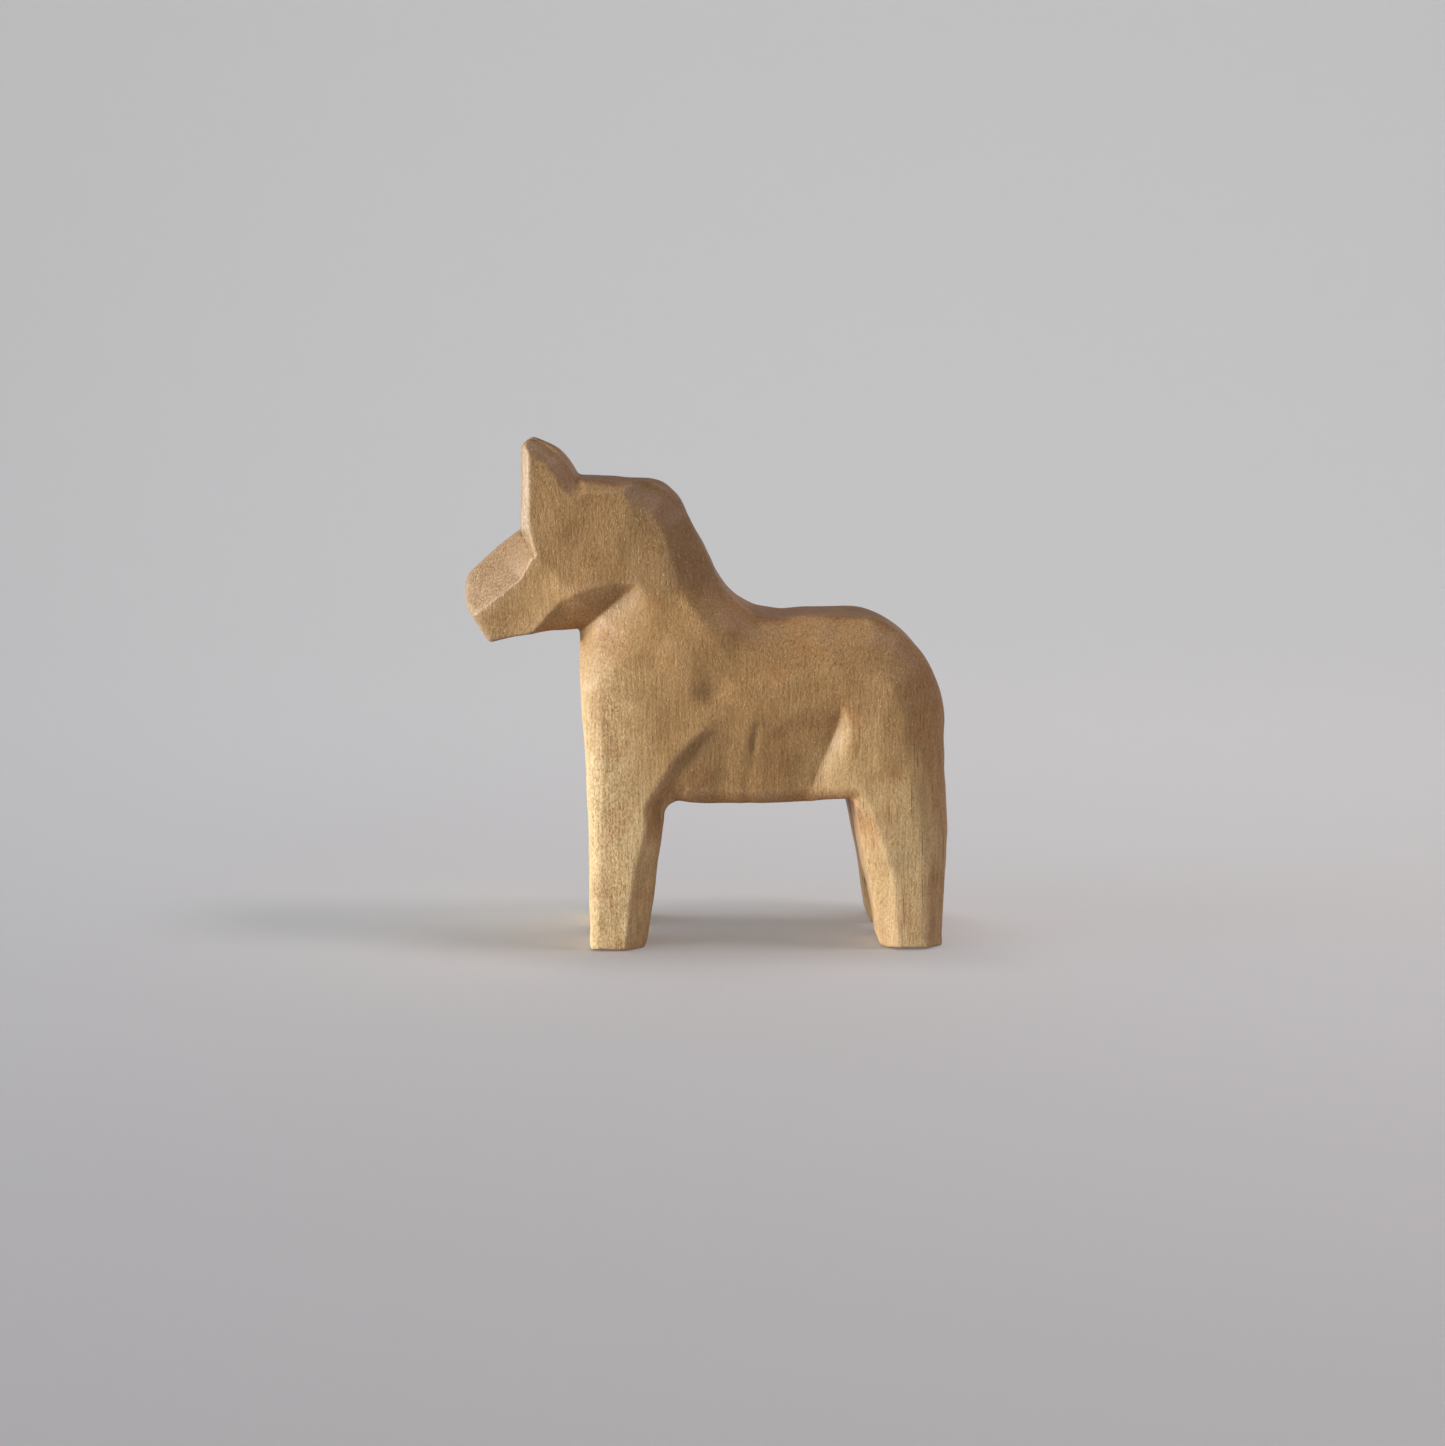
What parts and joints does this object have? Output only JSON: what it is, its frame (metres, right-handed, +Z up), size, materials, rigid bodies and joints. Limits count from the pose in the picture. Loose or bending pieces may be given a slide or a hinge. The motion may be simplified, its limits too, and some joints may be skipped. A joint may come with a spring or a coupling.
{
  "type": "carved wooden horse figurine",
  "caption": "Small standing horse whittled from one block of plain wood, with pricked ears, faceted muzzle and straight legs, resting on its flat feet.",
  "frame": {"origin": "on the ground plane, at the middle of the horse's length and width", "axes": "+Z up along the legs and the grain of the wood; the nose points to -X; the horse's left side faces -Y"},
  "size_m": [0.071, 0.0264, 0.075],
  "materials": {
    "wood": "satin clear finish over bare straight-grained hardwood"
  },
  "bodies": {
    "root": {"carved_horse": "wood"}
  },
  "joints": []
}
